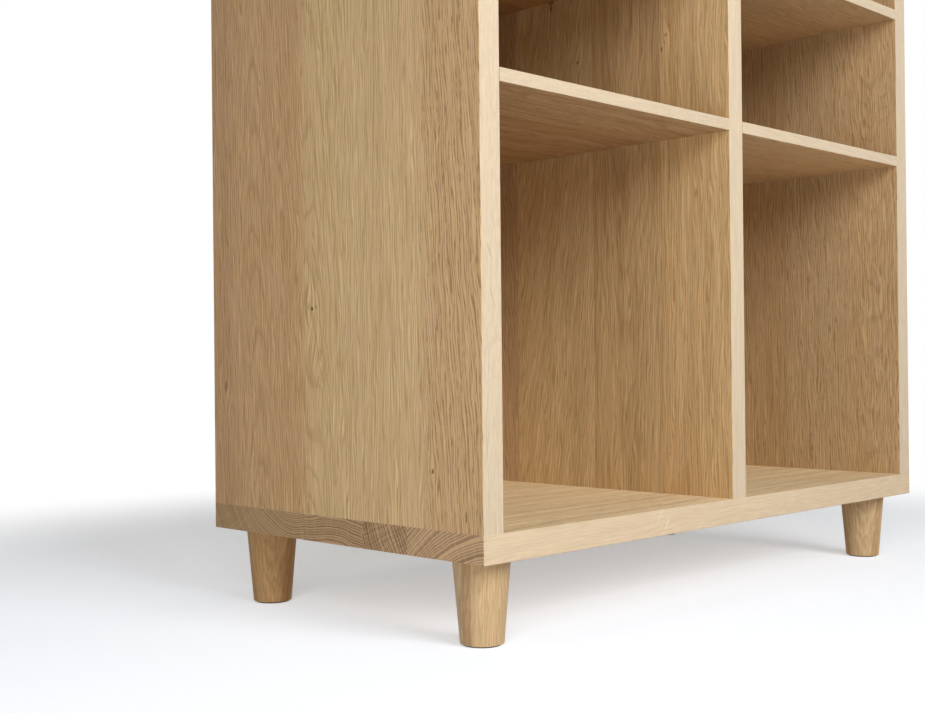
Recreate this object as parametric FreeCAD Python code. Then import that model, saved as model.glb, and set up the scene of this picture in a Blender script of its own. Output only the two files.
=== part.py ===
import FreeCAD, Part
import os

# A low oak bookcase on four turned legs: two bays side by side, three compartments high.
# Everything is in millimetres. +X runs to the right, +Y to the back and +Z up.
# The origin is on the floor, under the middle of the case.

# Case: clear sizes of the compartments, and the boards round them
bay_width = 355.0
tall_clear = 391.0
short_clear = 174.0
case_depth = 400.0
cap_thick = 26.0
side_thick = 25.0
divider_thick = 25.0
shelf_thick = 12.5
edge_ease = 0.8
shelf_ease = 0.6

# Back panels: two thin sheets, flush with the rear edges, in a rebate round each bay
back_thick = 8.0
rebate_width = 10.0
back_gap = 0.5
panel_joint_gap = 0.6
shelf_back_gap = 0.3

# Legs: straight tapered, standing in from the ends of the bottom board and from its front and back
leg_height = 77.5
leg_top_radius = 26.75
leg_foot_radius = 20.0
leg_side_inset = 42.0
leg_depth_inset = 44.0
leg_foot_ease = 0.6
leg_top_ease = 0.5

# Felt pads under the legs, let into the foot and standing a little proud
pad_radius = 17.5
pad_thick = 3.0
pad_proud = 1.5
pad_side_gap = 0.2
pad_ease = 0.4

# Threaded studs that join the legs to nuts let into the bottom board
stud_radius = 4.0
stud_in_leg = 32.0
stud_in_board = 17.0
stud_chamfer = 1.0
stud_end_gap = 1.0
stud_fit = 0.05
nut_radius = 6.0
nut_length = 18.0
nut_chamfer = 0.6
nut_fit = 0.05

# Dowels that join the sides and the divider to the bottom and top boards
cap_dowel_radius = 4.0
cap_dowel_in_cap = 13.0
cap_dowel_in_side = 23.0
cap_dowel_count = 5
cap_dowel_front_inset = 36.0
cap_dowel_back_inset = 40.0

# Dowels that join the shelves to the sides and the divider
shelf_dowel_radius = 3.0
shelf_dowel_in_side = 10.0
shelf_dowel_in_shelf = 18.0
shelf_dowel_count = 4
shelf_dowel_front_inset = 34.0
shelf_dowel_back_inset = 40.0

# All dowels
dowel_fit = 0.05
dowel_end_gap = 0.5
dowel_chamfer = 0.8

# Wood screws with a cross slot: countersunk in the back panels, flat under the head in the brackets
screw_radius = 1.75
screw_head_radius = 3.5
screw_head_rim = 0.3
screw_point = 3.0
screw_fit = 0.1
slot_length = 3.8
slot_width = 0.9
slot_depth = 1.4
back_screw_length = 20.0
back_screw_sink = 0.2
back_screw_rows = 5
back_screw_columns = 3
back_screw_edge = 4.5
back_screw_corner_inset = 45.0
bracket_screw_length = 16.0
bracket_screw_head = 2.0

# Wall brackets: steel angles under the top board, one in each bay
bracket_thick = 2.0
bracket_width = 20.0
bracket_reach = 42.0
bracket_drop = 25.0
bracket_bend = 3.0
bracket_corner_round = 3.0
bracket_screw_first = 14.0
bracket_screw_second = 32.0
wall_hole_drop = 15.0
wall_hole_radius = 2.75

# How far a cutter runs past the face that it opens
overrun = 5.0
# Two places nearer to each other than this count as the same
same_place = 0.01

# Places across the case, left to right
case_width = 2 * side_thick + divider_thick + 2 * bay_width
x_left = -case_width / 2
x_right = case_width / 2
x_left_bay = x_left + side_thick
x_divider = x_left_bay + bay_width
x_right_bay = x_divider + divider_thick
x_right_side = x_right_bay + bay_width
x_middle = x_divider + divider_thick / 2

# Places from front to back
y_front = -case_depth / 2
y_back = case_depth / 2
y_back_panel = y_back - back_thick
y_shelf_back = y_back_panel - shelf_back_gap

# Heights above the floor
z_leg_foot = pad_proud
z_bottom_under = z_leg_foot + leg_height
z_bottom_top = z_bottom_under + cap_thick
z_lower_shelf = z_bottom_top + tall_clear
z_upper_shelf = z_lower_shelf + shelf_thick + short_clear
z_top_under = z_upper_shelf + shelf_thick + tall_clear
z_top = z_top_under + cap_thick

up = FreeCAD.Vector(0, 0, 1)
down = FreeCAD.Vector(0, 0, -1)
rightward = FreeCAD.Vector(1, 0, 0)
backward = FreeCAD.Vector(0, 1, 0)
full_turn = 360.0


def point(x, y, z):
    return FreeCAD.Vector(x, y, z)


def block(low, high):
    size = high.sub(low)
    return Part.makeBox(size.x, size.y, size.z, low)


def spread(first, last, count):
    # Evenly spaced places from first to last
    step = (last - first) / (count - 1)
    return [first + step * number for number in range(count)]


def cut_all(shape, cutters):
    return shape.cut(Part.makeCompound(cutters))


def circle_edges(shape):
    return [edge for edge in shape.Edges if edge.Curve.TypeId == "Part::GeomCircle"]


def rod(start, direction, radius, length, chamfer):
    plain = Part.makeCylinder(radius, length, start, direction)
    return plain.makeChamfer(chamfer, circle_edges(plain))


def bore(mouth, direction, radius, depth):
    # A blind round hole, from past its mouth down to its depth
    start = mouth.sub(FreeCAD.Vector(direction).multiply(overrun))
    return Part.makeCylinder(radius, depth + overrun, start, direction)


def edges_at(shape, axis, place):
    # The edges whose ends all lie in the plane where the axis has this value
    def lies_there(edge):
        ends = [getattr(corner.Point, axis) for corner in edge.Vertexes]
        return all(abs(end - place) < same_place for end in ends)

    return [edge for edge in shape.Edges if lies_there(edge)]


def upright(edges):
    return [edge for edge in edges if edge.BoundBox.ZLength > same_place]


def shared_by(first, second):
    return [edge for edge in first if any(edge.isSame(other) for other in second)]


# Where the joints sit
cap_dowel_first = y_front + cap_dowel_front_inset
cap_dowel_last = y_back - cap_dowel_back_inset
cap_dowel_places = spread(cap_dowel_first, cap_dowel_last, cap_dowel_count)
shelf_dowel_first = y_front + shelf_dowel_front_inset
shelf_dowel_last = y_shelf_back - shelf_dowel_back_inset
shelf_dowel_places = spread(shelf_dowel_first, shelf_dowel_last, shelf_dowel_count)
upright_centres = [x_left + side_thick / 2, x_middle, x_right - side_thick / 2]
shelf_heights = [z_lower_shelf, z_upper_shelf]
leg_places = {
    "front_left_leg": (x_left + leg_side_inset, y_front + leg_depth_inset),
    "front_right_leg": (x_right - leg_side_inset, y_front + leg_depth_inset),
    "back_left_leg": (x_left + leg_side_inset, y_back - leg_depth_inset),
    "back_right_leg": (x_right - leg_side_inset, y_back - leg_depth_inset),
}
bracket_centres = {
    "left_wall_bracket": (x_left_bay + x_divider) / 2,
    "right_wall_bracket": (x_right_bay + x_right_side) / 2,
}

# The back panels: from the rebate's outer edge to the joint behind the divider
back_panels = {
    "left_back_panel": (x_left_bay - rebate_width + back_gap, x_middle - panel_joint_gap / 2),
    "right_back_panel": (x_middle + panel_joint_gap / 2, x_right_side + rebate_width - back_gap),
}
z_back_low = z_bottom_top - rebate_width + back_gap
z_back_high = z_top_under + rebate_width - back_gap

# The two upright lines of screws in each back panel: near its outer edge and in the divider
screw_lines = {
    "left_back_panel": (back_panels["left_back_panel"][0] + back_screw_edge, (x_divider + x_middle) / 2),
    "right_back_panel": (back_panels["right_back_panel"][1] - back_screw_edge, (x_middle + x_right_bay) / 2),
}


def back_screw_places(name):
    # Down both upright lines, and along the panel's top and bottom
    low = z_back_low + back_screw_edge
    high = z_back_high - back_screw_edge
    x_low, x_high = back_panels[name]
    rows = spread(low + back_screw_corner_inset, high - back_screw_corner_inset, back_screw_rows)
    columns = spread(x_low + back_screw_corner_inset, x_high - back_screw_corner_inset, back_screw_columns)
    places = [(x, z) for x in screw_lines[name] for z in rows]
    return places + [(x, z) for x in columns for z in (low, high)]


all_back_screws = [place for name in back_panels for place in back_screw_places(name)]


def back_screw_pilots():
    # What the screws' shanks need in the boards behind the panels
    depth = back_screw_length - back_thick
    return [
        bore(point(x, y_back_panel, z), backward.negative(), screw_radius + screw_fit, depth)
        for x, z in all_back_screws
    ]


def cap_board(outer_face, inner_face, into_board):
    # The bottom or top board: it runs the full width, under or over the sides
    z_low = min(outer_face, inner_face)
    z_high = max(outer_face, inner_face)
    board = block(point(x_left, y_front, z_low), point(x_right, y_back, z_high))
    board = board.makeFillet(edge_ease, edges_at(board, "z", outer_face) + upright(board.Edges))
    rebate_floor = inner_face + into_board.z * rebate_width
    past_inner = inner_face - into_board.z * overrun
    rebate = block(
        point(x_left_bay - rebate_width, y_back_panel, min(rebate_floor, past_inner)),
        point(x_right_side + rebate_width, y_back + overrun, max(rebate_floor, past_inner)),
    )
    radius = cap_dowel_radius + dowel_fit
    dowel_holes = [
        bore(point(x, y, inner_face), into_board, radius, cap_dowel_in_cap + dowel_end_gap)
        for x in upright_centres
        for y in cap_dowel_places
    ]
    return cut_all(board, [rebate] + dowel_holes + back_screw_pilots())


def bottom_board():
    board = cap_board(z_bottom_under, z_bottom_top, down)
    nut_holes = [
        bore(point(x, y, z_bottom_under), up, nut_radius + nut_fit, nut_length + stud_end_gap)
        for x, y in leg_places.values()
    ]
    return cut_all(board, nut_holes)


def top_board():
    board = cap_board(z_top, z_top_under, up)
    depth = bracket_screw_length - bracket_thick
    pilots = [
        bore(point(x, y, z_top_under), up, screw_radius + screw_fit, depth)
        for x, y in bracket_screw_places()
    ]
    return cut_all(board, pilots)


def upright_dowel_holes(x_centre):
    radius = cap_dowel_radius + dowel_fit
    depth = cap_dowel_in_side + dowel_end_gap
    holes = [bore(point(x_centre, y, z_bottom_top), up, radius, depth) for y in cap_dowel_places]
    holes += [bore(point(x_centre, y, z_top_under), down, radius, depth) for y in cap_dowel_places]
    return holes


def shelf_holes_in_upright(x_face, direction):
    radius = shelf_dowel_radius + dowel_fit
    depth = shelf_dowel_in_side + dowel_end_gap
    return [
        bore(point(x_face, y, z + shelf_thick / 2), direction, radius, depth)
        for z in shelf_heights
        for y in shelf_dowel_places
    ]


def side_panel(x_outer, x_inner):
    x_low = min(x_outer, x_inner)
    x_high = max(x_outer, x_inner)
    outward = rightward if x_outer > x_inner else rightward.negative()
    panel = block(point(x_low, y_front, z_bottom_top), point(x_high, y_back, z_top_under))
    panel = panel.makeFillet(edge_ease, upright(panel.Edges))
    rebate_edge = x_inner + outward.x * rebate_width
    past_inner = x_inner - outward.x * overrun
    rebate = block(
        point(min(rebate_edge, past_inner), y_back_panel, z_bottom_top - overrun),
        point(max(rebate_edge, past_inner), y_back + overrun, z_top_under + overrun),
    )
    holes = upright_dowel_holes((x_outer + x_inner) / 2)
    holes += shelf_holes_in_upright(x_inner, outward)
    return cut_all(panel, [rebate] + holes + back_screw_pilots())


def centre_divider():
    panel = block(point(x_divider, y_front, z_bottom_top), point(x_right_bay, y_back_panel, z_top_under))
    panel = panel.makeFillet(edge_ease, upright(edges_at(panel, "y", y_front)))
    holes = upright_dowel_holes(x_middle)
    holes += shelf_holes_in_upright(x_divider, rightward)
    holes += shelf_holes_in_upright(x_right_bay, rightward.negative())
    return cut_all(panel, holes + back_screw_pilots())


def shelf(x_low, x_high, z_low):
    board = block(point(x_low, y_front, z_low), point(x_high, y_shelf_back, z_low + shelf_thick))
    eased = [edge for edge in edges_at(board, "y", y_front) if edge.BoundBox.XLength > same_place]
    board = board.makeFillet(shelf_ease, eased)
    radius = shelf_dowel_radius + dowel_fit
    depth = shelf_dowel_in_shelf + dowel_end_gap
    middle = z_low + shelf_thick / 2
    ends = ((x_low, rightward), (x_high, rightward.negative()))
    holes = [
        bore(point(x, y, middle), into_shelf, radius, depth)
        for x, into_shelf in ends
        for y in shelf_dowel_places
    ]
    return cut_all(board, holes)


def back_panel(name):
    x_low, x_high = back_panels[name]
    panel = block(point(x_low, y_back_panel, z_back_low), point(x_high, y_back, z_back_high))
    cutters = []
    for x, z in back_screw_places(name):
        face = point(x, y_back, z)
        cutters.append(bore(face, backward.negative(), screw_radius + screw_fit, back_thick + overrun))
        cutters.append(countersink(face))
    wall_hole_z = z_top_under - wall_hole_drop
    for x in bracket_centres.values():
        if x_low < x < x_high:
            mouth = point(x, y_back, wall_hole_z)
            cutters.append(bore(mouth, backward.negative(), wall_hole_radius, back_thick + overrun))
    return cut_all(panel, cutters)


def countersink(face):
    # Widens the hole to the screw head's cone, sunk a little below the face
    wide = screw_head_radius + screw_fit
    narrow = screw_radius + screw_fit
    rim = back_screw_sink + screw_head_rim
    lead = Part.makeCylinder(wide, rim + overrun, face.sub(point(0, rim, 0)), backward)
    cone = Part.makeCone(narrow, wide, wide - narrow, face.sub(point(0, rim + wide - narrow, 0)), backward)
    return lead.fuse(cone)


def turned_leg(x, y):
    foot = point(x, y, z_leg_foot)
    leg = Part.makeCone(leg_foot_radius, leg_top_radius, leg_height, foot, up)
    leg = leg.makeFillet(leg_foot_ease, edges_at(leg, "z", z_leg_foot))
    leg = leg.makeChamfer(leg_top_ease, edges_at(leg, "z", z_bottom_under))
    stud_hole = bore(point(x, y, z_bottom_under), down, stud_radius + stud_fit, stud_in_leg + stud_end_gap)
    pad_recess = bore(foot, up, pad_radius + pad_side_gap, pad_thick - pad_proud)
    return cut_all(leg, [stud_hole, pad_recess])


def felt_pad(x, y):
    pad = Part.makeCylinder(pad_radius, pad_thick, point(x, y, 0), up)
    return pad.makeFillet(pad_ease, edges_at(pad, "z", 0))


def leg_stud(x, y):
    start = point(x, y, z_bottom_under - stud_in_leg)
    return rod(start, up, stud_radius, stud_in_leg + stud_in_board, stud_chamfer)


def insert_nut(x, y):
    outer = rod(point(x, y, z_bottom_under), up, nut_radius, nut_length, nut_chamfer)
    thread = bore(point(x, y, z_bottom_under), up, stud_radius + stud_fit, nut_length + overrun)
    return outer.cut(thread)


def cap_dowels(z_face, into_upright):
    start_shift = FreeCAD.Vector(into_upright).multiply(-cap_dowel_in_cap)
    length = cap_dowel_in_cap + cap_dowel_in_side
    starts = [point(x, y, z_face).add(start_shift) for x in upright_centres for y in cap_dowel_places]
    return [rod(start, into_upright, cap_dowel_radius, length, dowel_chamfer) for start in starts]


def shelf_dowels(x_face, into_shelf):
    start_shift = FreeCAD.Vector(into_shelf).multiply(-shelf_dowel_in_side)
    length = shelf_dowel_in_side + shelf_dowel_in_shelf
    starts = [
        point(x_face, y, z + shelf_thick / 2).add(start_shift)
        for z in shelf_heights
        for y in shelf_dowel_places
    ]
    return [rod(start, into_shelf, shelf_dowel_radius, length, dowel_chamfer) for start in starts]


def wood_screw(rim, cone, shank_end):
    # Head up at the origin, shank down: the head's rim and cone, the shank and its point
    outline = [
        point(0, 0, 0),
        point(screw_head_radius, 0, 0),
        point(screw_head_radius, 0, -rim),
        point(screw_radius, 0, -rim - cone),
        point(screw_radius, 0, screw_point - shank_end),
        point(0, 0, -shank_end),
        point(0, 0, 0),
    ]
    body = Part.Face(Part.makePolygon(outline)).revolve(point(0, 0, 0), up, full_turn)
    arms = []
    for long_way, short_way in ((slot_length, slot_width), (slot_width, slot_length)):
        low = point(-long_way / 2, -short_way / 2, -slot_depth)
        arms.append(block(low, point(long_way / 2, short_way / 2, overrun)))
    return cut_all(body, arms)


def placed(shape, position, head_direction):
    copy = shape.copy()
    copy.Placement = FreeCAD.Placement(position, FreeCAD.Rotation(up, head_direction))
    return copy


def back_panel_screws():
    cone = screw_head_radius - screw_radius
    screw = wood_screw(screw_head_rim, cone, back_screw_length - back_screw_sink)
    return [placed(screw, point(x, y_back - back_screw_sink, z), backward) for x, z in all_back_screws]


def bracket_screw_places():
    reaches = (bracket_screw_first, bracket_screw_second)
    return [(x, y_back_panel - reach) for x in bracket_centres.values() for reach in reaches]


def wall_bracket(x):
    # An angle with a rounded bend: one leg under the top board, one against the back panel
    y_tip = y_back_panel - bracket_reach
    y_inner = y_back_panel - bracket_thick
    z_inner = z_top_under - bracket_thick
    z_tip = z_top_under - bracket_drop
    x_low = x - bracket_width / 2
    outline = [
        point(x_low, y_tip, z_top_under),
        point(x_low, y_back_panel, z_top_under),
        point(x_low, y_back_panel, z_tip),
        point(x_low, y_inner, z_tip),
        point(x_low, y_inner, z_inner),
        point(x_low, y_tip, z_inner),
        point(x_low, y_tip, z_top_under),
    ]
    angle = Part.Face(Part.makePolygon(outline)).extrude(point(bracket_width, 0, 0))
    tips = edges_at(angle, "y", y_tip) + edges_at(angle, "z", z_tip)
    angle = angle.makeFillet(bracket_corner_round, [edge for edge in tips if not lies_across(edge)])
    outer_bend = shared_by(edges_at(angle, "y", y_back_panel), edges_at(angle, "z", z_top_under))
    angle = angle.makeFillet(bracket_bend, outer_bend)
    inner_bend = shared_by(edges_at(angle, "y", y_inner), edges_at(angle, "z", z_inner))
    angle = angle.makeFillet(bracket_bend - bracket_thick, inner_bend)
    holes = [
        bore(point(x, y_back_panel - reach, z_inner), up, screw_radius + screw_fit, bracket_thick + overrun)
        for reach in (bracket_screw_first, bracket_screw_second)
    ]
    wall_hole = point(x, y_inner, z_top_under - wall_hole_drop)
    holes.append(bore(wall_hole, backward, wall_hole_radius, bracket_thick + overrun))
    return cut_all(angle, holes)


def lies_across(edge):
    return edge.BoundBox.XLength > same_place


def bracket_screws():
    screw = wood_screw(bracket_screw_head, 0, bracket_screw_head + bracket_screw_length)
    z_head = z_top_under - bracket_thick - bracket_screw_head
    return [placed(screw, point(x, y, z_head), down) for x, y in bracket_screw_places()]


def save(name, solids):
    shape = solids[0] if len(solids) == 1 else Part.makeCompound(solids)
    shape.exportStep(os.path.join("parts", name + ".step"))


os.makedirs("parts", exist_ok=True)

save("bottom_board", [bottom_board()])
save("top_board", [top_board()])
save("left_side", [side_panel(x_left, x_left_bay)])
save("right_side", [side_panel(x_right, x_right_side)])
save("centre_divider", [centre_divider()])

bays = {"left": (x_left_bay, x_divider), "right": (x_right_bay, x_right_side)}
levels = {"lower": z_lower_shelf, "upper": z_upper_shelf}
for level, height in levels.items():
    for bay, (bay_low, bay_high) in bays.items():
        save(level + "_" + bay + "_shelf", [shelf(bay_low, bay_high, height)])

for panel_name in back_panels:
    save(panel_name, [back_panel(panel_name)])

for leg_name, (leg_x, leg_y) in leg_places.items():
    save(leg_name, [turned_leg(leg_x, leg_y)])

save("leg_felt_pads", [felt_pad(x, y) for x, y in leg_places.values()])
save("leg_studs", [leg_stud(x, y) for x, y in leg_places.values()])
save("leg_insert_nuts", [insert_nut(x, y) for x, y in leg_places.values()])

save("bottom_joint_dowels", cap_dowels(z_bottom_top, up))
save("top_joint_dowels", cap_dowels(z_top_under, down))
save("left_side_shelf_dowels", shelf_dowels(x_left_bay, rightward))
save("divider_left_shelf_dowels", shelf_dowels(x_divider, rightward.negative()))
save("divider_right_shelf_dowels", shelf_dowels(x_right_bay, rightward))
save("right_side_shelf_dowels", shelf_dowels(x_right_side, rightward.negative()))

save("back_panel_screws", back_panel_screws())
for bracket_name, bracket_x in bracket_centres.items():
    save(bracket_name, [wall_bracket(bracket_x)])
save("bracket_screws", bracket_screws())
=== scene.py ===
import math
import random

import bpy
from mathutils import Matrix, Vector


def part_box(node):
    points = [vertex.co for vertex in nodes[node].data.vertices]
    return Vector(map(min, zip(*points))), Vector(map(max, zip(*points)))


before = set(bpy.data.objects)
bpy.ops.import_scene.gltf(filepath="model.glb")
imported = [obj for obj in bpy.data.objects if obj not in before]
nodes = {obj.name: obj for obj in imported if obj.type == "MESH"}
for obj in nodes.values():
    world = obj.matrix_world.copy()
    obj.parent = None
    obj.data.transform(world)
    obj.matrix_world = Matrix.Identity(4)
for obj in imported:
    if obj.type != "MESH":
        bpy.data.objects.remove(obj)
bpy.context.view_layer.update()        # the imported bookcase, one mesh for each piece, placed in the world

scene = bpy.context.scene
toMm = 1000.0            # materials work in millimetres, Blender in metres
print("case loaded,", len(nodes), "pieces")


# Small helpers for shader nodes

def plug(tree, socket, value):
    # a socket is linked, a plain value is typed in
    if isinstance(value, bpy.types.NodeSocket):
        tree.links.new(value, socket)
    elif value is not None:
        socket.default_value = value


def calc(tree, operation, a, b=None, c=None, clamp=False):
    node = tree.nodes.new("ShaderNodeMath")
    node.operation = operation
    node.use_clamp = clamp
    for socket, value in zip(node.inputs, (a, b, c)):
        plug(tree, socket, value)
    return node.outputs[0]


def vectorCalc(tree, operation, a, b=None):
    node = tree.nodes.new("ShaderNodeVectorMath")
    node.operation = operation
    plug(tree, node.inputs[0], a)
    plug(tree, node.inputs[1], b)
    return node.outputs[0]


def ramp(tree, value, low, high, toLow=0.0, toHigh=1.0):
    # smooth step from toLow to toHigh while value goes from low to high
    node = tree.nodes.new("ShaderNodeMapRange")
    node.interpolation_type = "SMOOTHSTEP"
    for name, given in (("Value", value), ("From Min", low), ("From Max", high),
                        ("To Min", toLow), ("To Max", toHigh)):
        plug(tree, node.inputs[name], given)
    return node.outputs[0]


def combine(tree, x, y, z):
    node = tree.nodes.new("ShaderNodeCombineXYZ")
    for socket, value in zip(node.inputs, (x, y, z)):
        plug(tree, socket, value)
    return node.outputs[0]


def separate(tree, vector):
    node = tree.nodes.new("ShaderNodeSeparateXYZ")
    plug(tree, node.inputs[0], vector)
    return node.outputs


def noise(tree, vector, detail=1.0):
    node = tree.nodes.new("ShaderNodeTexNoise")
    plug(tree, node.inputs["Vector"], vector)
    node.inputs["Scale"].default_value = 1.0
    node.inputs["Detail"].default_value = detail
    node.inputs["Roughness"].default_value = 0.5
    return node.outputs["Fac"]


def swing(tree, value, depth):
    # a noise from 0 to 1 as a swing of up to depth to either side
    return calc(tree, "MULTIPLY", calc(tree, "SUBTRACT", value, 0.5), depth * 2)


def cells(tree, parts, sizes, seed=0.0):
    # a place counted in noise cells of these sizes (mm); a place of two parts has the seed for its third
    scaled = [calc(tree, "DIVIDE", part, size) for part, size in zip(parts, sizes)]
    if len(scaled) == 2:
        scaled.append(seed)
    return combine(tree, *scaled)


def stretched(tree, place, lengths, detail=1.0):
    # noise with cells of the given sizes in mm along x, y and z, of a place in m
    scale = tuple(toMm / length for length in lengths)
    return noise(tree, vectorCalc(tree, "MULTIPLY", place, scale), detail)


def mixVector(tree, factor, a, b):
    node = tree.nodes.new("ShaderNodeMix")
    node.data_type = "VECTOR"
    node.clamp_factor = True
    plug(tree, node.inputs[0], factor)
    plug(tree, node.inputs[4], a)
    plug(tree, node.inputs[5], b)
    return node.outputs[1]


def mixColor(tree, factor, a, b, blend="MIX"):
    node = tree.nodes.new("ShaderNodeMix")
    node.data_type = "RGBA"
    node.blend_type = blend
    node.clamp_factor = True
    plug(tree, node.inputs[0], factor)
    plug(tree, node.inputs[6], a)
    plug(tree, node.inputs[7], b)
    return node.outputs[2]


def tint(tree, color, gain):
    return mixColor(tree, 1.0, color, gain, "MULTIPLY")


def rgba(color):
    return (*color, 1)


def objectPlace(tree):
    return tree.nodes.new("ShaderNodeTexCoord").outputs["Object"]


def turnRound(tree, vector, degrees):
    # about the upright axis
    node = tree.nodes.new("ShaderNodeVectorRotate")
    node.rotation_type = "Z_AXIS"
    plug(tree, node.inputs["Vector"], vector)
    node.inputs["Angle"].default_value = math.radians(degrees)
    return node.outputs[0]


# Small helpers for materials

def newMaterial(name, look):
    # an empty Principled material with the values that are the same all over
    material = bpy.data.materials.new(name)
    material.use_nodes = True
    tree = material.node_tree
    shader = tree.nodes["Principled BSDF"]
    shader.inputs["Metallic"].default_value = look.get("metallic", 0.0)
    shader.inputs["Specular IOR Level"].default_value = look["specular"]
    return material, tree, shader


def addRoughness(tree, shader, figure, look):
    # a little smoother where the figure is low, a little rougher where it is high
    middle = look["roughness"]
    low, high = look.get("figureRange", (0.0, 1.0))
    plug(tree, shader.inputs["Roughness"],
         ramp(tree, figure, low, high, middle - look["smoother"], middle + look["rougher"]))


def addBump(tree, shader, height, look):
    bump = tree.nodes.new("ShaderNodeBump")
    bump.inputs["Strength"].default_value = look["bump"]
    bump.inputs["Distance"].default_value = look["bumpDepth"]
    plug(tree, bump.inputs["Height"], height)
    plug(tree, shader.inputs["Normal"], bump.outputs[0])


def middleOf(name):
    low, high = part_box(name)
    return (low + high) / 2


def finishNode(name, material):
    # the piece keeps its shape and gets this material on all of it
    slots = nodes[name].data.materials
    slots.clear()
    slots.append(material)


# Oak: one figure worked out in depth, so that faces, edges and ends of a board agree

oak = {
    "pale": (0.72, 0.515, 0.285),        # latewood
    "dark": (0.455, 0.29, 0.14),         # earlywood
    "pore": (0.22, 0.105, 0.035),        # open pores
    "blush": (0.62, 0.42, 0.255),        # pinkish patches
    "knot": (0.115, 0.055, 0.022),
    "usual": (0.585, 0.40, 0.21),        # what all of it comes to from a step away
    "endPale": (0.60, 0.42, 0.24),       # the same wood cut across
    "endDark": (0.19, 0.105, 0.05),
    "specular": 0.28,
    "roughness": 0.52, "smoother": 0.05, "rougher": 0.1,
    "bump": 0.5, "bumpDepth": 0.0003,
    # lengths along the grain, widths across it and depths, in mm
    "waveLength": 300.0, "waveWidth": 75.0, "waveDepth": 7.0,
    "rippleLength": 80.0, "rippleWidth": 22.0, "rippleDepth": 1.5,
    "poreLength": 9.0, "poreWidth": 2.4,
    "rowLength": 26.0, "rowWidth": 2.6,  # how far a row of pores runs before it breaks
    "driftLength": 60.0, "driftWidth": 8.0,
    "partLength": 45.0, "partWidth": 4.0,  # the stretches over which a fine line shows
    "fibreLength": 45.0, "fibreWidth": 0.90,
    "bandLength": 420.0, "bandWidth": 15.0,
    "blushLength": 110.0, "blushWidth": 24.0,
    "lineSpacing": 3.3,                  # from one fine line to the next
    "lineSlant": 0.5,                    # how far the lines move sideways for each mm of depth
    "driftTurns": 3.6,                   # by how many spacings they wander
    "fibreStep": 0.45,                   # between the two noises that make the fibres, of their width
    "fibreDepth": 4.0,                   # how deep a fibre goes, of its width
    "grit": 1.1,
    "ringUnevenness": 1.6,               # years
    "unevenPace": 0.31,                  # how fast that changes from year to year
    "rayHeight": 16.0, "raysPerTurn": 330.0, "rayReach": 26.0,
    "glueLine": 0.1, "glueFade": 0.3,    # half as wide as a glue line is, and how far it fades out
    "staveStep": 1.7,                    # by how much the seed grows from stave to stave
    "seedShifts": (37.7, 11.3, 23.9),    # how far a seed of 1 moves the figure each way
    "yearStep": 13.0,
    "steps": {                           # from where to where each one rises, and from what to what
        "poresOpen": (0.0, 0.12), "poresClose": (0.2, 0.75, 1.0, 0.0),    # over a year
        "lineOpens": (0.0, 0.1), "lineCloses": (0.12, 0.4, 1.0, 0.0),
        "part": (0.3, 0.7, 0.35, 1.65), "crest": (0.55, 0.95),
        "row": (0.36, 0.56), "pore": (0.42, 0.56),
        "fibre": (-0.12, 0.12), "band": (0.25, 0.75),
        "blush": (0.5, 0.75, 0.0, 0.35), "ray": (0.42, 0.62),
    },
    "weights": {"year": 0.03, "fibre": 0.42, "lines": 0.42, "grit": 0.25},    # how much each darkens
    "dashShare": 0.7, "rowShare": 0.3, "poreTint": 0.5,
    "fibreHollow": 0.25, "poreHollow": 1.0,
    "endPores": 1.2, "endRayShare": 0.5, "endRayLift": 0.16, "endYear": 0.22,
}


def newOakGroup():
    # place: along, across, thick (mm). pith: across, thick, ring width. lean: across, thick, waviness.
    # show: how strongly rings, pores and bands show on the faces
    # endRays: how strongly rays show on a cut end
    group = bpy.data.node_groups.new("oakFigure", "ShaderNodeTree")
    for name in ("place", "pith", "lean", "show"):
        group.interface.new_socket(name, in_out="INPUT", socket_type="NodeSocketVector")
    for name in ("seed", "endRays"):
        group.interface.new_socket(name, in_out="INPUT", socket_type="NodeSocketFloat")
    for name in ("color", "endColor"):
        group.interface.new_socket(name, in_out="OUTPUT", socket_type="NodeSocketColor")
    for name in ("height", "figure"):
        group.interface.new_socket(name, in_out="OUTPUT", socket_type="NodeSocketFloat")
    return group


def growthRings(group, radius, bend, ringWidth, seed):
    # unevenly wide years round the pith: how far through its year a point is, and a tone for each year
    years = calc(group, "DIVIDE", calc(group, "ADD", radius, bend), ringWidth)
    pace = calc(group, "MULTIPLY", years, oak["unevenPace"])
    uneven = noise(group, combine(group, pace, seed, 0.0))
    rings = calc(group, "ADD", years, swing(group, uneven, oak["ringUnevenness"]))
    yearTone = group.nodes.new("ShaderNodeTexWhiteNoise")
    yearTone.noise_dimensions = "1D"
    plug(group, yearTone.inputs["W"],
         calc(group, "ADD", calc(group, "FLOOR", rings), calc(group, "MULTIPLY", seed, oak["yearStep"])))
    return calc(group, "FRACT", rings), yearTone.outputs[0]


def rayNoise(group, deep, side, along, radius, seedShift):
    # rays are thin sheets that run out from the pith
    angle = calc(group, "ARCTAN2", deep, side)
    place = combine(group, calc(group, "MULTIPLY", angle, oak["raysPerTurn"] / math.tau),
                    calc(group, "DIVIDE", along, oak["rayHeight"]),
                    calc(group, "DIVIDE", radius, oak["rayReach"]))
    return noise(group, vectorCalc(group, "ADD", place, seedShift))


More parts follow.
